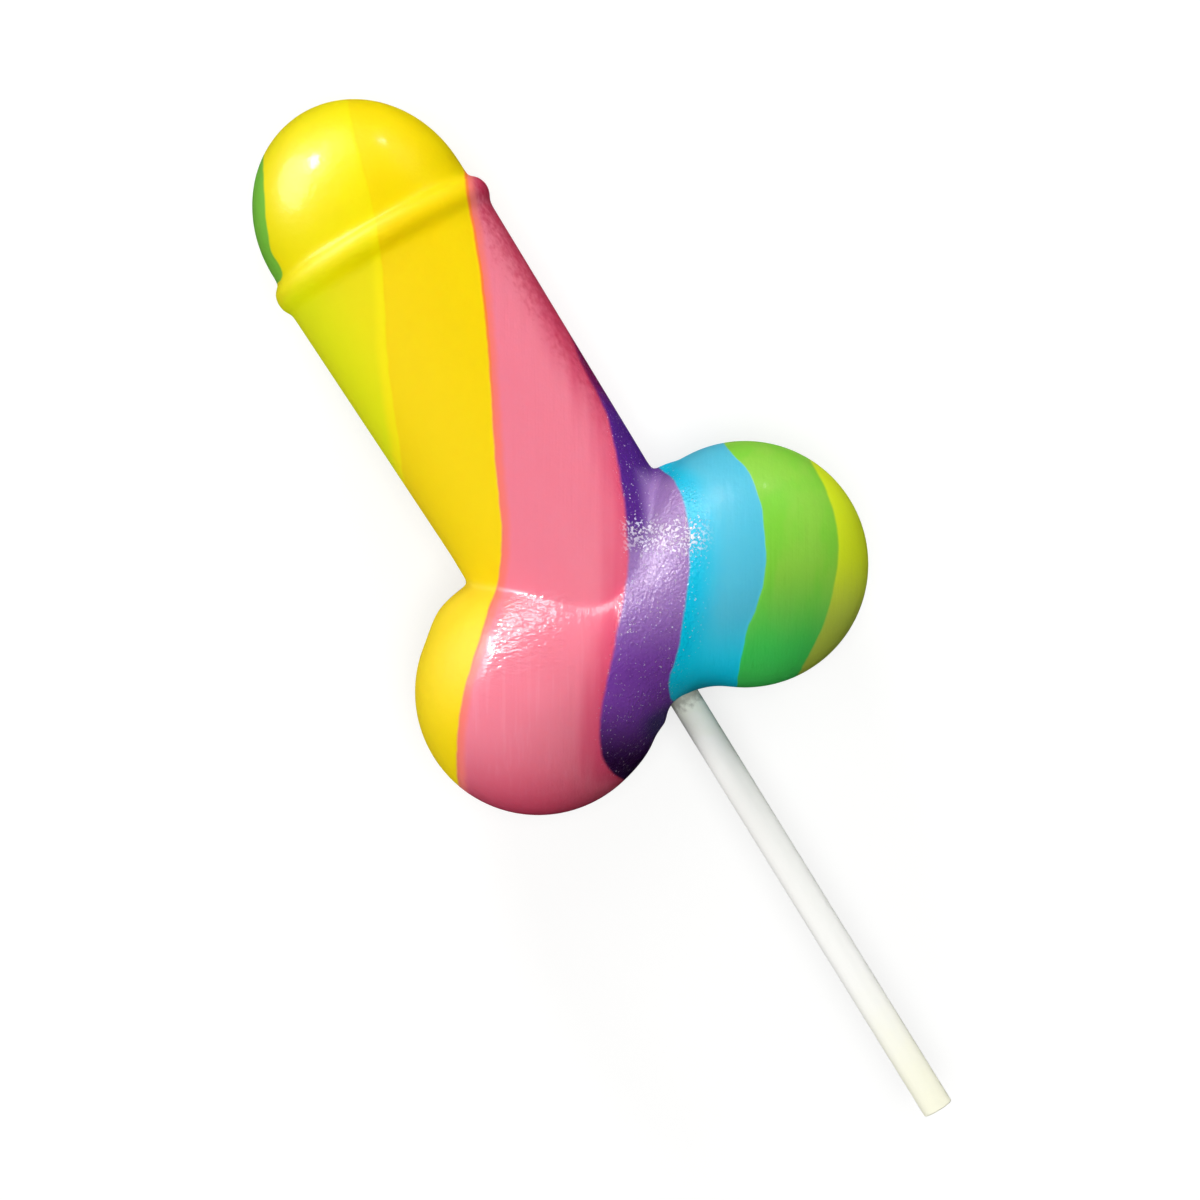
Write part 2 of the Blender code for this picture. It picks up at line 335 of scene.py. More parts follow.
# %% [markdown]
# ## Filling the corners
# Candy that is poured into a mould or pressed by hand is a little fuller in some corners than
# two forms that only meet, and a little hollower in others. A soft pull does both: a few
# points are selected around a spot and moved, and proportional editing takes their neighbours
# along, less and less with distance. Each pull below is a spot, seen from the middle of the
# lobes, a direction, a distance and a reach, in millimetres.

# %% Pull the corners
PULL_CORE = 0.35
TO_TIP = Vector((-1, 0, 0))
LOWER_RIGHT = right * 0.87 - up * 0.5
PULLS = [
    # the corner between the shaft and the left lobe
    ((-15.5, -17.8, 0), up * 0.69 - right * 0.72, 0.7, 5.5),
    # the corner between the shaft and the right lobe
    ((-15.6, 11.0, 0), TO_TIP, 0.8, 3.4),
    # the shoulder of the left lobe, beside the stick
    ((11.7, -4.3, 0), LOWER_RIGHT, 0.25, 6.5),
    ((10.9, -3.1, 0), Vector((0.75, 0.66, 0)), 0.4, 2.8),
    # the left edge of the stick's hole, below and above its middle
    ((10.7, -1.4, -1.4), TO_TIP, 0.6, 2.3),
    ((10.7, -1.4, 1.4), TO_TIP, 0.6, 2.3),
]


def pull(item, spot, toward, distance, reach):
    """Move the skin around a spot, softly fading out within the reach."""
    only(item)
    bpy.ops.object.mode_set(mode="EDIT")
    select_points(item, lambda place: (place - spot).length < reach * PULL_CORE)
    bpy.ops.transform.translate(
        value=toward.normalized() * distance, use_proportional_edit=True,
        proportional_edit_falloff="SMOOTH", proportional_size=reach)
    bpy.ops.object.mode_set(mode="OBJECT")


for spot, toward, distance, reach in PULLS:
    pull(candy, LOBES + Vector(spot) * MM, toward, distance * MM, reach * MM)
print("candy's length in mm:", round(candy.dimensions.x / MM, 2))

# %% [markdown]
# ## Resting flat
# A round sweet that lies on a table touches it in small spots. Every point below the table's
# top, or within a hair of it, is pressed flat onto it.

# %% Press the rest spots flat
TABLE_HAIR = 0.02 * MM

only(candy)
bpy.ops.object.mode_set(mode="EDIT")
select_points(candy, lambda place: place.z < TABLE_HAIR)
bpy.ops.transform.resize(value=(1, 1, 0), center_override=(0, 0, 0))
bpy.ops.object.mode_set(mode="OBJECT")
bpy.ops.object.shade_smooth()
print("lowest point in mm:", round(min(point.co.z for point in candy.data.vertices) / MM, 3))

# %% [markdown]
# ## Helpers for materials
# A material is a chain of nodes. A few helpers keep the chains readable: they add a node with
# its settings and inputs, do a sum, make a soft step, mix two colours, or add a fine noise.

# %% Node helpers


def linear(colour):
    """An sRGB colour, counted to 255, as the linear colour that a shader takes."""
    shares = [value / 255 for value in colour]
    return [s / 12.92 if s <= 0.04045 else ((s + 0.055) / 1.055) ** 2.4 for s in shares] + [1.0]


def put(tree, socket, value):
    """Join a socket to another one, or set it to a plain value."""
    if isinstance(value, bpy.types.NodeSocket):
        tree.links.new(value, socket)
    else:
        socket.default_value = value


def add_node(tree, kind, inputs, **settings):
    """A new node with its settings made and its inputs joined or set."""
    made = tree.nodes.new(kind)
    for name, value in settings.items():
        setattr(made, name, value)
    for name, value in inputs.items():
        put(tree, made.inputs[name], value)
    return made


def maths(tree, operation, *values):
    """A sum on plain values or sockets."""
    made = add_node(tree, "ShaderNodeMath", {}, operation=operation)
    for socket, value in zip(made.inputs, values):
        put(tree, socket, value)
    return made.outputs[0]


def ramp(tree, value, low, high, start=0.0, end=1.0):
    """A soft step: start below low, end above high."""
    inputs = {"Value": value, "From Min": low, "From Max": high, "To Min": start, "To Max": end}
    made = add_node(tree, "ShaderNodeMapRange", inputs, interpolation_type="SMOOTHSTEP")
    return made.outputs["Result"]


def mix(tree, share, first, second):
    """A colour that goes from the first to the second with the share."""
    made = tree.nodes.new("ShaderNodeMix")
    made.data_type = "RGBA"
    put(tree, made.inputs[0], share)
    put(tree, made.inputs[6], first)
    put(tree, made.inputs[7], second)
    return made.outputs[2]


def fine_noise(tree, place, scale, detail=2.0):
    """An uneven value about one half, with so many waves to a millimetre."""
    made = add_node(tree, "ShaderNodeTexNoise", {"Vector": place, "Scale": scale, "Detail": detail})
    return made.outputs[0]


def stretched(tree, place, scale):
    """The place with each of its directions scaled."""
    made = add_node(tree, "ShaderNodeMapping", {"Vector": place, "Scale": scale})
    return made.outputs["Vector"]


def new_material(name):
    """A material with only a Principled shader, and that shader."""
    made = bpy.data.materials.new(name)
    made.use_nodes = True
    return made, made.node_tree, made.node_tree.nodes["Principled BSDF"]


# %% [markdown]
# ## Where each colour lies
# The coloured layers stand side by side and run right through the candy, so a colour depends
# only on the place seen from above. The layers run at an angle to the shaft. Turned by that
# angle, each place has a distance along the layers and one across them, and each boundary
# is a wavy line: for every distance along, one distance across. A float curve holds that
# line. This is better than painting faces, because the edge stays sharp at any mesh size.

# %% The boundaries between the layers
LAYER_TURN = radians(-31.7)
BOUNDARIES = {
    "green to lemon": [(-75, -48.6), (-55.7, -46.8), (-46.9, -45.9), (-43.2, -44.7), (-42.4, -52)],
    "lemon to gold": [
        (-75, -39), (-56.9, -34.4), (-47.7, -32.2), (-31.6, -31.1), (-19.7, -29.7), (0, -29.5)],
    "gold to pink": [
        (-75, -24), (-56.7, -22.1), (-42.7, -19.8), (-21.8, -18.1), (-7.9, -17.5), (0.1, -19.6),
        (9.9, -22.3), (20.1, -22.8)],
    "pink to purple": [
        (-55, -14), (-33.9, -7.9), (-27, -4.6), (-21.9, -3.3), (-8.4, -1.8), (1.4, -3.3), (13.5, -5.2),
        (16.8, -4.4), (18.7, -2.5), (20.5, 2)],
    "purple to blue": [
        (-24, 0.8), (-20.4, 1.9), (-18, 4.1), (-13.3, 5.5), (-8.4, 5.7), (1.4, 4.6), (8.5, 3.5),
        (9.6, 4.6), (11.5, 7)],
    "blue to green": [
        (-35, 6), (-22.3, 10.6), (-18.7, 13.3), (-10.8, 14.9), (-5.9, 14.7), (1.4, 12.5), (6.4, 11.8)],
    "green to lime": [
        (-35, 14), (-20.6, 21.1), (-15.8, 23.1), (-10.9, 24), (-6.5, 23.7), (-1, 22.4), (5.4, 19.6),
        (20, 13)],
}
ALONG_RANGE = (-75.0, 45.0)
ACROSS_RANGE = (-55.0, 45.0)


def boundary_curve(tree, along, points):
    """The distance across at which a boundary lies, for a distance along, in mm."""
    low, high = ALONG_RANGE
    curve = tree.nodes.new("ShaderNodeFloatCurve")
    line = curve.mapping.curves[0]
    first, last = ACROSS_RANGE
    spots = [((a - low) / (high - low), (c - first) / (last - first)) for a, c in points]
    line.points[0].location = spots[0]
    line.points[1].location = spots[-1]
    for spot in spots[1:-1]:
        line.points.new(*spot)
    curve.mapping.extend = "HORIZONTAL"
    curve.mapping.update()
    share = ramp_line(tree, along, low, high, 0.0, 1.0)
    put(tree, curve.inputs["Value"], share)
    return ramp_line(tree, curve.outputs[0], 0.0, 1.0, first, last)


def ramp_line(tree, value, low, high, start, end):
    """A value carried straight from one range to another."""
    inputs = {"Value": value, "From Min": low, "From Max": high, "To Min": start, "To Max": end}
    return add_node(tree, "ShaderNodeMapRange", inputs, clamp=False).outputs["Result"]


# %% [markdown]
# ## The candy's colours
# Each layer has several tones, since the dye isn't even. The pink deepens to crimson towards
# the purple, in uneven bands, and turns coral beside the gold. The green turns from leaf green
# to a bluer green lower down, and the lemon goes greener at the shaft's outer side. Where two
# layers meet, the hot candy has run together over a fraction of a millimetre, most of all
# between gold and pink, where the mix shows as a thin orange line. Some tones are painted
# light and shade: deep crimson shade on the pink's outer edges, dark and near black shade on
# the purple, a sheen on the upper purple, a brighter lower blue, a partly shaded lower lime,
# and a dark painted shade on the edge of the candy beside the stick.

# %% The tones of the dyes
GRASS = linear((118, 190, 60))
LEMON = linear((236, 222, 0))
LEMON_GREEN = linear((225, 230, 4))
LEMON_BRIGHT = linear((247, 230, 0))
LEMON_DOME = linear((240, 224, 4))
GOLD_DOME = linear((241, 214, 0))
GOLD = linear((245, 213, 0))
ORANGE = linear((248, 128, 50))
CORAL = linear((247, 126, 118))
PINK = linear((240, 130, 150))
PINK_PALE = linear((248, 168, 186))
CRIMSON = linear((222, 76, 112))
CRIMSON_PAINTED_SHADE = linear((206, 56, 90))
PURPLE_PAINTED_EDGE_SHADE = linear((46, 14, 62))
PURPLE_PAINTED_CORNER_SHADE = linear((88, 38, 138))
PURPLE = linear((124, 66, 166))
PURPLE_PAINTED_SHEEN = linear((156, 120, 182))
PURPLE_RED = linear((128, 24, 82))
SUGAR_AND_PAINTED_GLINT = linear((238, 230, 246))
BLUE = linear((0, 190, 222))
BLUE_LIGHT = linear((82, 188, 214))
BLUE_PAINTED_FILL = linear((0, 206, 236))
GREEN = linear((140, 204, 68))
GREEN_DEEP = linear((128, 204, 60))
GREEN_COOL = linear((66, 204, 88))
LIME = linear((214, 232, 36))
LIME_DULL_AND_SHADE = linear((188, 208, 74))
CANDY_EDGE_PAINTED_SHADE = linear((10, 56, 78))

# %% Mix the yellow and the pink tones


def yellow_tones(tree, side, reach, distances):
    """Lemon and gold. The lemon is greener at the outer side, and both are nearly alike on the dome."""
    dome = ramp(tree, reach, DOME_BASE / MM - 2.0, DOME_BASE / MM + 1.0)
    lemon = mix(tree, ramp(tree, side, -13.4, -5.0), LEMON_GREEN, LEMON)
    lemon = mix(tree, ramp(tree, distances["lemon to gold"], -1.8, -0.4), lemon, LEMON_BRIGHT)
    return mix(tree, dome, lemon, LEMON_DOME), mix(tree, dome, GOLD, GOLD_DOME)


def pink_tones(tree, place, along, side, distances):
    """Pink with faint pale streaks, coral beside the gold, crimson by the purple, painted crimson shade
    at the edges.
    """
    past_gold = distances["gold to pink"]
    bands = fine_noise(tree, stretched(tree, place, (0.03, 0.5, 0.1)), 1.0)
    mottles = maths(tree, "MULTIPLY_ADD", fine_noise(tree, place, 1.2), 5.0, -2.5)
    banded = maths(tree, "MULTIPLY_ADD", bands, 5.0, distances["pink to purple"])
    streaks = fine_noise(tree, stretched(tree, place, (0.05, 1.7, 0.4)), 1.0, 3.0)
    on_lobe = ramp(tree, along, -6.0, 3.0)
    pale = maths(tree, "MULTIPLY", ramp(tree, streaks, 0.5, 0.75, 0.0, 0.16), on_lobe)
    pink = mix(tree, pale, PINK, PINK_PALE)
    pink = mix(tree, ramp(tree, banded, -2.5, 4.0), pink, CRIMSON)
    # Painted shade: deep crimson on the shaft's outer flank and along the lobes' lower edge.
    outer = ramp(tree, maths(tree, "ADD", side, mottles), 10.3, 15.0)
    painted_flank_shade = maths(tree, "MULTIPLY", outer, ramp(tree, along, -14.0, -20.0))
    painted_crimson_shade = maths(tree, "MAXIMUM", painted_flank_shade, ramp(tree, along, 12.0, 26.0))
    pink = mix(tree, painted_crimson_shade, pink, CRIMSON_PAINTED_SHADE)
    pink = mix(tree, ramp(tree, past_gold, 0.5, 1.5), CORAL, pink)
    orange_length = ramp(tree, along, -18.0, -40.0, 0.25, 1.0)
    run_together = maths(tree, "MULTIPLY", ramp(tree, past_gold, 0.5, 0.2), orange_length)
    return mix(tree, run_together, pink, ORANGE)


# %% Mix the purple, blue and green tones


def purple_tones(tree, along, distances):
    """A painted sheen above, painted shade in the corner by the shaft, near black painted shade at the
    edge.
    """
    past_pink = distances["pink to purple"]
    # Painted sheen: the upper purple is lighter, where the glare falls.
    purple = mix(tree, ramp(tree, along, -6.0, 6.0), PURPLE_PAINTED_SHEEN, PURPLE)
    # Painted shade: the purple darkens in the corner beside the pink and on the shaft.
    beside_pink = maths(tree, "MULTIPLY", ramp(tree, past_pink, 3.6, 1.4), ramp(tree, along, -8.0, -14.0))
    painted_corner_shade = maths(tree, "MAXIMUM", beside_pink, ramp(tree, along, -17.5, -20.5))
    purple = mix(tree, painted_corner_shade, purple, PURPLE_PAINTED_CORNER_SHADE)
    # Painted shade: the purple turns nearly black towards its lower edge.
    purple = mix(tree, ramp(tree, along, 8.0, 17.0), purple, PURPLE_PAINTED_EDGE_SHADE)
    return mix(tree, ramp(tree, along, -26.0, -32.5), purple, PURPLE_RED)


def cool_tones(tree, place, along, distances):
    """The blue, the green and the lime, each with its change from top to bottom."""
    blue = mix(tree, ramp(tree, distances["purple to blue"], 0.5, 5.0), BLUE, BLUE_LIGHT)
    # Painted light: the lower blue is brightened to stand in for fill light.
    blue = mix(tree, ramp(tree, along, -3.0, 6.0), blue, BLUE_PAINTED_FILL)
    clouds = fine_noise(tree, stretched(tree, place, (0.08, 0.22, 0.15)), 1.0, 3.0)
    green = mix(tree, ramp(tree, clouds, 0.42, 0.62), GREEN, GREEN_DEEP)
    green = mix(tree, ramp(tree, along, -8.0, 4.0), green, GREEN_COOL)
    # The lime goes duller lower down, partly its own tone and partly painted shade.
    lime = mix(tree, ramp(tree, along, -10.0, 0.0), LIME, LIME_DULL_AND_SHADE)
    return blue, green, lime


# %% Lay the layers side by side


def layer_colour(tree, place, along, side, reach, distances):
    """The candy's colour, layer by layer, from the distances past each boundary."""
    lemon, gold = yellow_tones(tree, side, reach, distances)
    blue, green, lime = cool_tones(tree, place, along, distances)
    steps = [
        ("green to lemon", 0.15, lemon),
        ("lemon to gold", 0.2, gold),
        ("gold to pink", 0.18, pink_tones(tree, place, along, side, distances)),
        ("pink to purple", 0.3, purple_tones(tree, along, distances)),
        ("purple to blue", 0.2, blue),
        ("blue to green", 0.12, green),
        ("green to lime", 0.2, lime),
    ]
    colour = GRASS
    for name, blend, following in steps:
        share = ramp(tree, distances[name], -blend, blend)
        colour = mix(tree, share, colour, following)
    # Painted shade: the candy's edge beside the stick darkens towards a dark teal.
    beside_stick = ramp(tree, maths(tree, "ABSOLUTE", side), 6.0, 3.0)
    painted_stick_shade = maths(tree, "MULTIPLY", ramp(tree, reach, -8.6, -10.6, 0.0, 0.55), beside_stick)
    return mix(tree, painted_stick_shade, colour, CANDY_EDGE_PAINTED_SHADE)


# %% [markdown]
# ## The candy's surface
# Hard candy is glossy, a little see-through just under the skin, and never quite smooth. The
# pull of the hot mass leaves fine grooves that run along the layers. The layers meet in tiny
# steps, and the skin is finely pitted like the peel of an orange. One lobe is wrinkled below
# the crease. On the purple lie tiny sugar grains, thickest in one band, and their white is
# partly painted glint.
# These are far too fine to model, so they are bumps in the shader, each at its own scale in
# millimetres. The wet gloss isn't even either: a clear coat over the base lies on parts of the
# dome, on the pink and purple of the lobes, and on the grains.

# %% Sugar grains
SUGAR_AND_GLINT_BAND = (-14.5, -12.0, -10.5, -8.0)


def frosted(tree, place, distances):
    """How much sugar grain there is: all of it on the purple, fading out beside it."""
    start = ramp(tree, distances["pink to purple"], -1.2, 0.8)
    end = ramp(tree, distances["purple to blue"], 3.5, -0.5)
    patches = ramp(tree, fine_noise(tree, place, 0.25), 0.35, 0.6, 0.5, 1.0)
    return maths(tree, "MULTIPLY", maths(tree, "MULTIPLY", start, end), patches)


def sugar_grains_and_glints(tree, place, along, frost):
    """White grains, partly painted glints: a few everywhere in the frost, and thick in one band."""
    first, full, waning, last = SUGAR_AND_GLINT_BAND
    band = maths(tree, "MULTIPLY", ramp(tree, along, first, full), ramp(tree, along, last, waning))
    specks = fine_noise(tree, place, 2.9, 8.0)
    thick = maths(tree, "MULTIPLY_ADD", band, 0.15, specks)
    return maths(tree, "MULTIPLY", ramp(tree, thick, 0.63, 0.7), frost)


# %% The skin's relief
GROOVE_DEPTH = 0.06
PEEL_DEPTH = 0.05
WRINKLE_DEPTH = 0.22
FINE_DEPTH = 0.012
FROST_DEPTH = 0.24
SUGAR_HEIGHT = 0.12
STEPS = {"lemon to gold": -0.035, "gold to pink": 0.1, "pink to purple": 0.06, "blue to green": 0.1}


def wrinkling(tree, along, across, distances):
    """The wrinkled patch: the pink of one lobe, most of all just below the crease."""
    below_crease = ramp(tree, along, -4.8, -3.6)
    one_lobe = ramp(tree, across, -6.0, -12.0)
    upper_half = ramp(tree, along, 8.0, 2.5, 0.12, 1.0)
    pink = ramp(tree, distances["gold to pink"], 0.8, 2.4)
    patch = maths(tree, "MULTIPLY", maths(tree, "MULTIPLY", below_crease, one_lobe), upper_half)
    return maths(tree, "MULTIPLY", patch, pink)


def skin_height(tree, place, along, across, frost, grains_and_glints, distances):
    """The height of the skin's fine relief, in mm."""
    grooves = fine_noise(tree, stretched(tree, place, (0.05, 1.3, 0.3)), 1.0, 3.0)
    wrinkles = fine_noise(tree, stretched(tree, place, (1.9, 0.8, 1.2)), 1.0, 2.0)
    past_gold = ramp(tree, distances["gold to pink"], 0.0, 1.0)
    fine_depth = maths(tree, "MULTIPLY_ADD", frost, FROST_DEPTH, FINE_DEPTH)
    folded = maths(tree, "MULTIPLY", wrinkles, wrinkling(tree, along, across, distances))
    height = maths(tree, "MULTIPLY", maths(tree, "MULTIPLY", grooves, past_gold), GROOVE_DEPTH)
    height = maths(tree, "MULTIPLY_ADD", fine_noise(tree, place, 0.75, 2.0), PEEL_DEPTH, height)
    height = maths(tree, "MULTIPLY_ADD", fine_noise(tree, place, 2.6, 2.0), fine_depth, height)
    height = maths(tree, "MULTIPLY_ADD", grains_and_glints, SUGAR_HEIGHT, height)
    height = maths(tree, "MULTIPLY_ADD", folded, WRINKLE_DEPTH, height)
    for name, rise in STEPS.items():
        height = maths(tree, "ADD", height, ramp(tree, distances[name], -0.4, 0.4, 0.0, rise))
    return height


# %% How glossy the skin is
DOME_COAT = 0.14
LOBE_COAT = 0.3
WRINKLE_COAT = 0.65
GRAIN_COAT = 0.5
DRY_SHARE = 0.2


def skin_roughness(tree, reach, distances):
    """Dullest on the yellow of the shaft and lobe, and glossiest on the pink and the purple."""
    yellow = ramp(tree, reach, DOME_BASE / MM - 2.0, DOME_BASE / MM + 2.0, 0.6, 0.42)
    pink = ramp(tree, distances["gold to pink"], -0.5, 0.5)
    cool = ramp(tree, distances["purple to blue"], -0.5, 0.5, 0.36, 0.46)
    return maths(
        tree, "ADD", maths(tree, "MULTIPLY", pink, cool),
        maths(tree, "MULTIPLY", yellow, maths(tree, "SUBTRACT", 1.0, pink)))


def skin_coat(tree, along, across, reach, grains_and_glints, distances):
    """The clear wet look: a little on the dome, most in the wrinkles, least past the purple."""
    left_part = ramp(tree, distances["lemon to gold"], -3.0, -4.5)
    right_part = ramp(tree, distances["lemon to gold"], -0.6, 0.8)
    dome = ramp(tree, reach, DOME_BASE / MM, DOME_BASE / MM + 3.0, 0.0, DOME_COAT)
    dome = maths(tree, "MULTIPLY", dome, maths(tree, "MAXIMUM", left_part, right_part))
    lobes = ramp(tree, reach, 21.0, 14.0, 0.0, LOBE_COAT)
    lobes = maths(tree, "MULTIPLY", lobes, ramp(tree, distances["gold to pink"], 0.8, 2.4))
    wet = maths(tree, "MAXIMUM", dome, lobes)
    wet = maths(tree, "MULTIPLY_ADD", wrinkling(tree, along, across, distances), WRINKLE_COAT, wet)
    drying = ramp(tree, distances["purple to blue"], -0.3, 0.8, 1.0, DRY_SHARE)
    wet = maths(tree, "MULTIPLY", wet, drying)
    return maths(tree, "MULTIPLY_ADD", grains_and_glints, GRAIN_COAT, wet)


# %% The candy material


def shaft_measure(tree, coordinates, direction):
    """How far a place is from the shaft's root in one direction, in mm."""
    from_root = add_node(
        tree, "ShaderNodeVectorMath", {0: coordinates, 1: root}, operation="SUBTRACT").outputs[0]
    measured = add_node(
        tree, "ShaderNodeVectorMath", {0: from_root, 1: direction / MM}, operation="DOT_PRODUCT")
    return measured.outputs["Value"]


def candy_material():
    """The whole candy: all layers, the sugar, the relief and the gloss."""
    made, tree, shader = new_material("candy")
    coordinates = tree.nodes.new("ShaderNodeTexCoord").outputs["Object"]
    turned = add_node(
        tree, "ShaderNodeMapping",
        {"Vector": coordinates, "Location": LOBES, "Rotation": (0, 0, LAYER_TURN), "Scale": (MM, MM, MM)},
        vector_type="TEXTURE")
    place = turned.outputs["Vector"]
    parts = add_node(tree, "ShaderNodeSeparateXYZ", {"Vector": place})
    along = parts.outputs["X"]
    waver = maths(tree, "MULTIPLY_ADD", fine_noise(tree, place, 0.35), 0.4, -0.2)
    across = maths(tree, "ADD", parts.outputs["Y"], waver)
    distances = {}
    for name, points in BOUNDARIES.items():
        distances[name] = maths(tree, "SUBTRACT", across, boundary_curve(tree, along, points))
    side = shaft_measure(tree, coordinates, shaft_side)
    reach = shaft_measure(tree, coordinates, shaft_axis)
    frost = frosted(tree, place, distances)
    grains_and_glints = sugar_grains_and_glints(tree, place, along, frost)
    colour = layer_colour(tree, place, along, side, reach, distances)
    # Painted glints: the grains' white flecks stand in for sparkle highlights as well as sugar.
    sugared_and_glints = mix(tree, maths(tree, "MULTIPLY", grains_and_glints, 0.85), colour, SUGAR_AND_PAINTED_GLINT)
    put(tree, shader.inputs["Base Color"], sugared_and_glints)
    height = skin_height(tree, place, along, across, frost, grains_and_glints, distances)
    bump = add_node(tree, "ShaderNodeBump", {"Height": height, "Distance": MM, "Strength": 1.0})
    put(tree, shader.inputs["Normal"], bump.outputs["Normal"])
    put(tree, shader.inputs["Coat Normal"], bump.outputs["Normal"])
    put(tree, shader.inputs["Roughness"], skin_roughness(tree, reach, distances))
    put(tree, shader.inputs["Coat Weight"], skin_coat(tree, along, across, reach, grains_and_glints, distances))
    shader.inputs["Coat Roughness"].default_value = 0.15
    shader.inputs["IOR"].default_value = 1.45
    shader.inputs["Specular IOR Level"].default_value = 0.2
    shader.inputs["Subsurface Weight"].default_value = 0.35
    shader.inputs["Subsurface Radius"].default_value = (1.0, 0.8, 0.6)
    shader.inputs["Subsurface Scale"].default_value = 1.4 * MM
    return made


candy.data.materials.clear()
candy.data.materials.append(candy_material())
layer_nodes = [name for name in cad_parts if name.startswith("layer_")]
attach(candy, "root")
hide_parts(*layer_nodes)
print("candy stands for", len(layer_nodes), "layers")

# %% [markdown]
# ## The stick
# A paper stick is a strip of paper rolled up tight. From outside only the edge of the strip
# shows, as a fine step along the whole stick, and the cut end shows the turns of the roll.
# So the cross-section isn't a circle but one turn of a spiral. It is drawn point by point,
# filled, and extruded along the stick. At the cut end it is extruded a few times more, each
# time a little smaller, to round the edge and sink the middle a little.

# %% Model the stick
PAPER = 0.09 * MM
STICK_POINTS = 72
STICK_ROWS = 40
SEAM_ANGLE = radians(60)
SHARP_ANGLE = radians(35)
STICK_EDGE = 0.12 * MM
STICK_END_RINGS = ((0.94, STICK_EDGE), (0.75, -0.05 * MM), (0.5, 0.04 * MM), (0.22, -0.09 * MM))


def stick_section():
    """One turn of the roll's outer spiral, in a plane across the stick."""
    points = []
    for i in range(STICK_POINTS + 1):
        turn = i / STICK_POINTS
        angle = 2 * pi * turn + SEAM_ANGLE
        radius = STICK_RADIUS - PAPER * turn
        points.append(LOBES + Vector((STICK_START, radius * cos(angle), radius * sin(angle))))
    return points


stick = draw_line("paper_stick", stick_section())
bpy.ops.mesh.edge_face_add()
row = (STICK_END - STICK_EDGE - LOBES.x - STICK_START) / STICK_ROWS
for i in range(STICK_ROWS):
    bpy.ops.mesh.extrude_region_move(TRANSFORM_OT_translate={"value": (row, 0, 0)})
shrunk = 1.0
for share, depth in STICK_END_RINGS:
    bpy.ops.mesh.extrude_region_move(TRANSFORM_OT_translate={"value": (depth, 0, 0)})
    bpy.ops.transform.resize(value=(1, share / shrunk, share / shrunk), center_override=LOBES)
    shrunk = share
bpy.ops.mesh.select_all(action="SELECT")
bpy.ops.mesh.normals_make_consistent(inside=False)
bpy.ops.object.mode_set(mode="OBJECT")
bpy.ops.object.shade_smooth_by_angle(angle=SHARP_ANGLE)
print("stick:", len(stick.data.polygons), "faces")

# %% [markdown]
# ## The paper
# The paper is white and matt, with short fibres along the stick. Near the candy it is greyer
# and a little greener, in blotches, with a darker painted shadow right beside the candy, and at
# the far end it is faintly yellow. On the cut end the turns of the roll show as a fine spiral,
# worked out from the distance to the stick's axis and the angle round it.

# %% The paper material
PAPER_WHITE = linear((250, 250, 246))
PAPER_NEAR_CANDY = linear((240, 244, 230))
PAPER_YELLOW = linear((250, 249, 226))
PAPER_GAP = linear((150, 146, 134))
PAPER_PAINTED_SHADOW = linear((176, 178, 164))


def paper_material():
    """The paper, its painted shadow beside the candy, and the spiral on its cut end."""
    made, tree, shader = new_material("rolled_paper")
    coordinates = tree.nodes.new("ShaderNodeTexCoord").outputs["Object"]
    centred = add_node(
        tree, "ShaderNodeMapping", {"Vector": coordinates, "Location": LOBES, "Scale": (MM, MM, MM)},
        vector_type="TEXTURE")
    place = centred.outputs["Vector"]
    parts = add_node(tree, "ShaderNodeSeparateXYZ", {"Vector": place})
    fibres = fine_noise(tree, stretched(tree, place, (0.8, 6.0, 6.0)), 1.0, 4.0)
    notch = WAIST_NOTCH / MM
    end = (STICK_END - LOBES.x) / MM
    blotches = maths(tree, "MULTIPLY_ADD", fine_noise(tree, place, 0.5), 6.0, -3.0)
    reach = maths(tree, "ADD", parts.outputs["X"], blotches)
    # Greyer and a little greener near the candy, in blotches.
    colour = mix(tree, ramp(tree, reach, notch + 1.0, notch + 7.0), PAPER_NEAR_CANDY, PAPER_WHITE)
    # Painted shadow: a darker grey band on the paper right beside the candy.
    painted_shadow_line = maths(tree, "MULTIPLY_ADD", fine_noise(tree, place, 1.4), 3.0, parts.outputs["X"])
    colour = mix(tree, ramp(tree, painted_shadow_line, notch + 1.6, notch + 3.4), PAPER_PAINTED_SHADOW, colour)
    colour = mix(tree, ramp(tree, reach, end - 22.0, end), colour, PAPER_YELLOW)
    side_squared = maths(tree, "POWER", parts.outputs["Y"], 2.0)
    height_squared = maths(tree, "POWER", parts.outputs["Z"], 2.0)
    radius = maths(tree, "SQRT", maths(tree, "ADD", side_squared, height_squared))
    angle = maths(tree, "ARCTAN2", parts.outputs["Z"], parts.outputs["Y"])
    layers = maths(tree, "DIVIDE", radius, 3 * PAPER / MM)
    turns = maths(tree, "MULTIPLY_ADD", angle, 1 / (2 * pi), layers)
    gap = ramp(tree, maths(tree, "FRACT", turns), 0.7, 0.9)
    cut_end = ramp(tree, parts.outputs["X"], end - 0.2, end - 0.1)
    inside = ramp(tree, radius, STICK_RADIUS / MM - 0.2, STICK_RADIUS / MM - 0.3)
    shown_gap = maths(tree, "MULTIPLY", gap, maths(tree, "MULTIPLY", cut_end, inside))
    colour = mix(tree, shown_gap, colour, PAPER_GAP)
    put(tree, shader.inputs["Base Color"], colour)
    height = maths(tree, "MULTIPLY_ADD", fibres, 0.02, maths(tree, "MULTIPLY", shown_gap, -0.06))
    bump = add_node(tree, "ShaderNodeBump", {"Height": height, "Distance": MM, "Strength": 1.0})
    put(tree, shader.inputs["Normal"], bump.outputs["Normal"])
    put(tree, shader.inputs["Roughness"], ramp(tree, fibres, 0.3, 0.7, 0.62, 0.85))
    return made


stick.data.materials.clear()
stick.data.materials.append(paper_material())
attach(stick, "root")
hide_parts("stick")
stick.visible_glossy = False

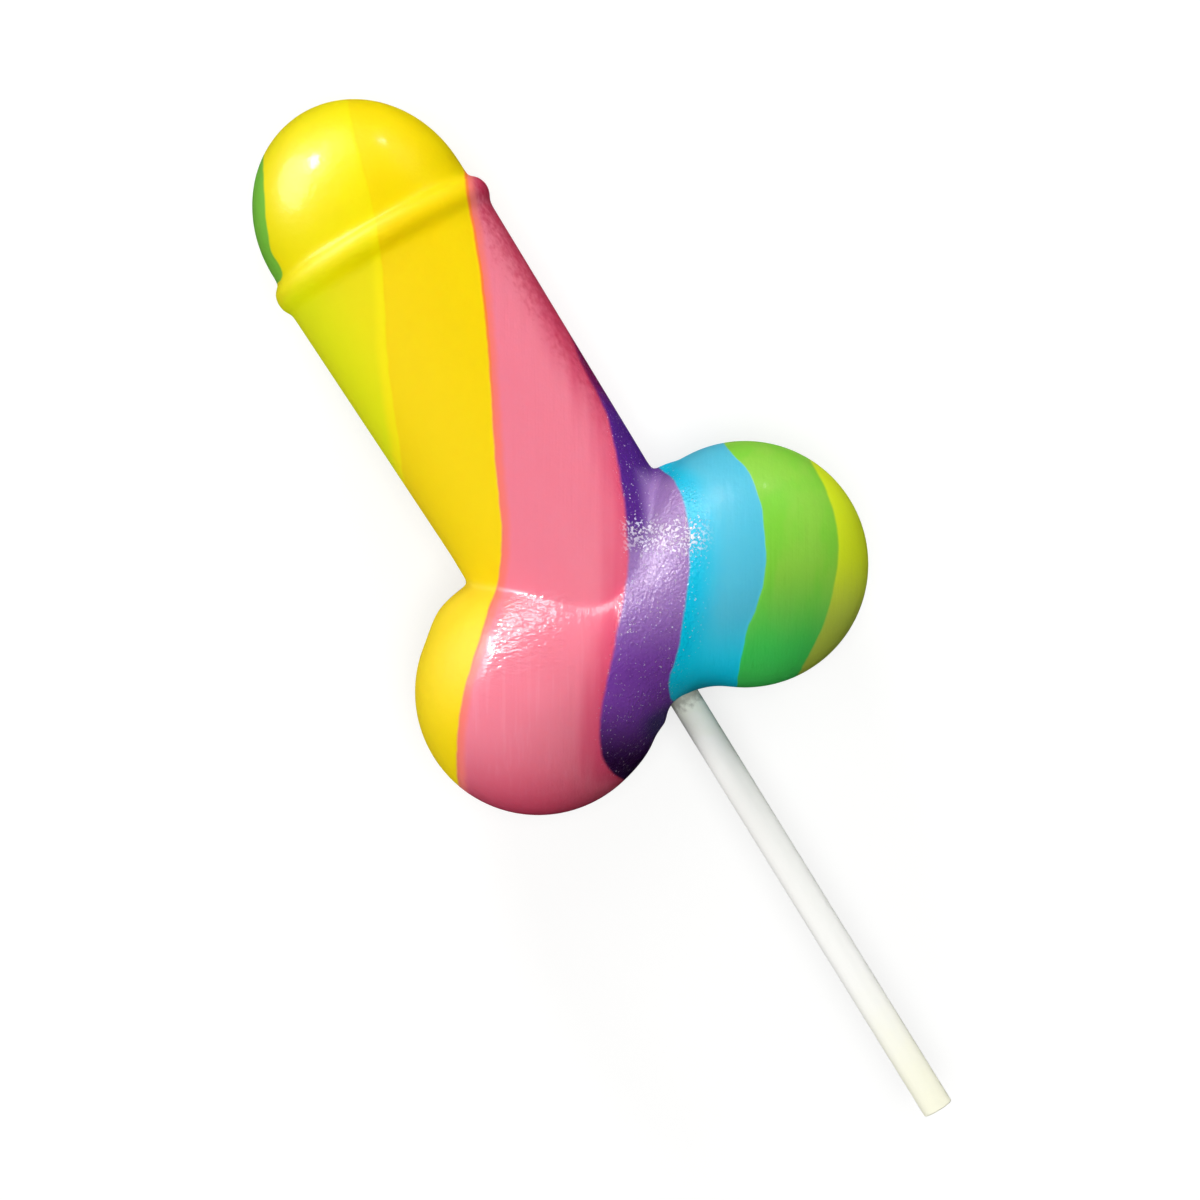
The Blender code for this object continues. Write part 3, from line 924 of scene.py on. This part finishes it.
# %% [markdown]
# ## The floor and the light
# The picture's background is plain white, so the floor is white and glows a little, which
# keeps the shadows faint. Two soft lights from the sides and one from above brighten the
# candy. They aren't seen in reflections, so the colours stay deep. The shine comes from lights
# of their own on the upper side of the picture: a broad glare, a wide haze and two small
# glints. All but the glare show in reflections alone.

# %% Floor
FLOOR_SIZE = 3.0
FLOOR_DROP = 0.02 * MM

bpy.ops.object.select_all(action="DESELECT")
bpy.ops.mesh.primitive_plane_add(size=FLOOR_SIZE, location=(0, 0, -FLOOR_DROP))
floor = bpy.context.active_object
floor.name = "floor"
floor_material, _, floor_shader = new_material("pale_floor")
floor_shader.inputs["Base Color"].default_value = (0.35, 0.35, 0.35, 1.0)
floor_shader.inputs["Emission Color"].default_value = (1.0, 1.0, 0.99, 1.0)
floor_shader.inputs["Emission Strength"].default_value = 0.69
floor_shader.inputs["Roughness"].default_value = 0.9
floor_shader.inputs["Specular IOR Level"].default_value = 0.1
floor.data.materials.append(floor_material)
floor.visible_diffuse = False
floor.visible_glossy = False


# %% Lights
def add_light(name, toward, distance, size, power, glossy=True, diffuse=True):
    """A round soft light, in a direction given as right, up and towards the camera."""
    direction = (right * toward[0] + up * toward[1] + Vector((0, 0, toward[2]))).normalized()
    data = bpy.data.lights.new(name, "AREA")
    data.shape = "DISK"
    data.size = size
    data.energy = power
    light = bpy.data.objects.new(name, data)
    bpy.context.scene.collection.objects.link(light)
    light.location = direction * distance
    light.rotation_euler = direction.to_track_quat("Z", "Y").to_euler()
    light.visible_glossy = glossy
    light.visible_diffuse = diffuse


add_light("right_light", (0.55, 0.79, 0.26), 1.0, 0.5, 3.9, glossy=False)
add_light("left_light", (-0.88, -0.41, 0.26), 1.0, 0.5, 5.0, glossy=False)
add_light("top_light", (0.04, -0.1, 1.0), 1.4, 0.7, 11.8, glossy=False)
add_light("broad_glare", (-0.32, 0.88, 0.34), 1.0, 0.38, 5.6)
add_light("haze", (-0.88, 0.38, 0.22), 1.0, 0.72, 19.0, diffuse=False)
add_light("small_glint", (-0.64, 0.66, 0.39), 1.0, 0.17, 12.0, diffuse=False)
add_light("second_glint", (0.26, 0.95, 0.18), 1.0, 0.08, 1.2, diffuse=False)

world = bpy.data.worlds.new("studio")
bpy.context.scene.world = world
world.use_nodes = True
background = world.node_tree.nodes["Background"]
background.inputs["Color"].default_value = (1.0, 1.0, 1.0, 1.0)
background.inputs["Strength"].default_value = 0.1
world.cycles_visibility.glossy = False
bpy.context.scene.view_settings.view_transform = "Standard"
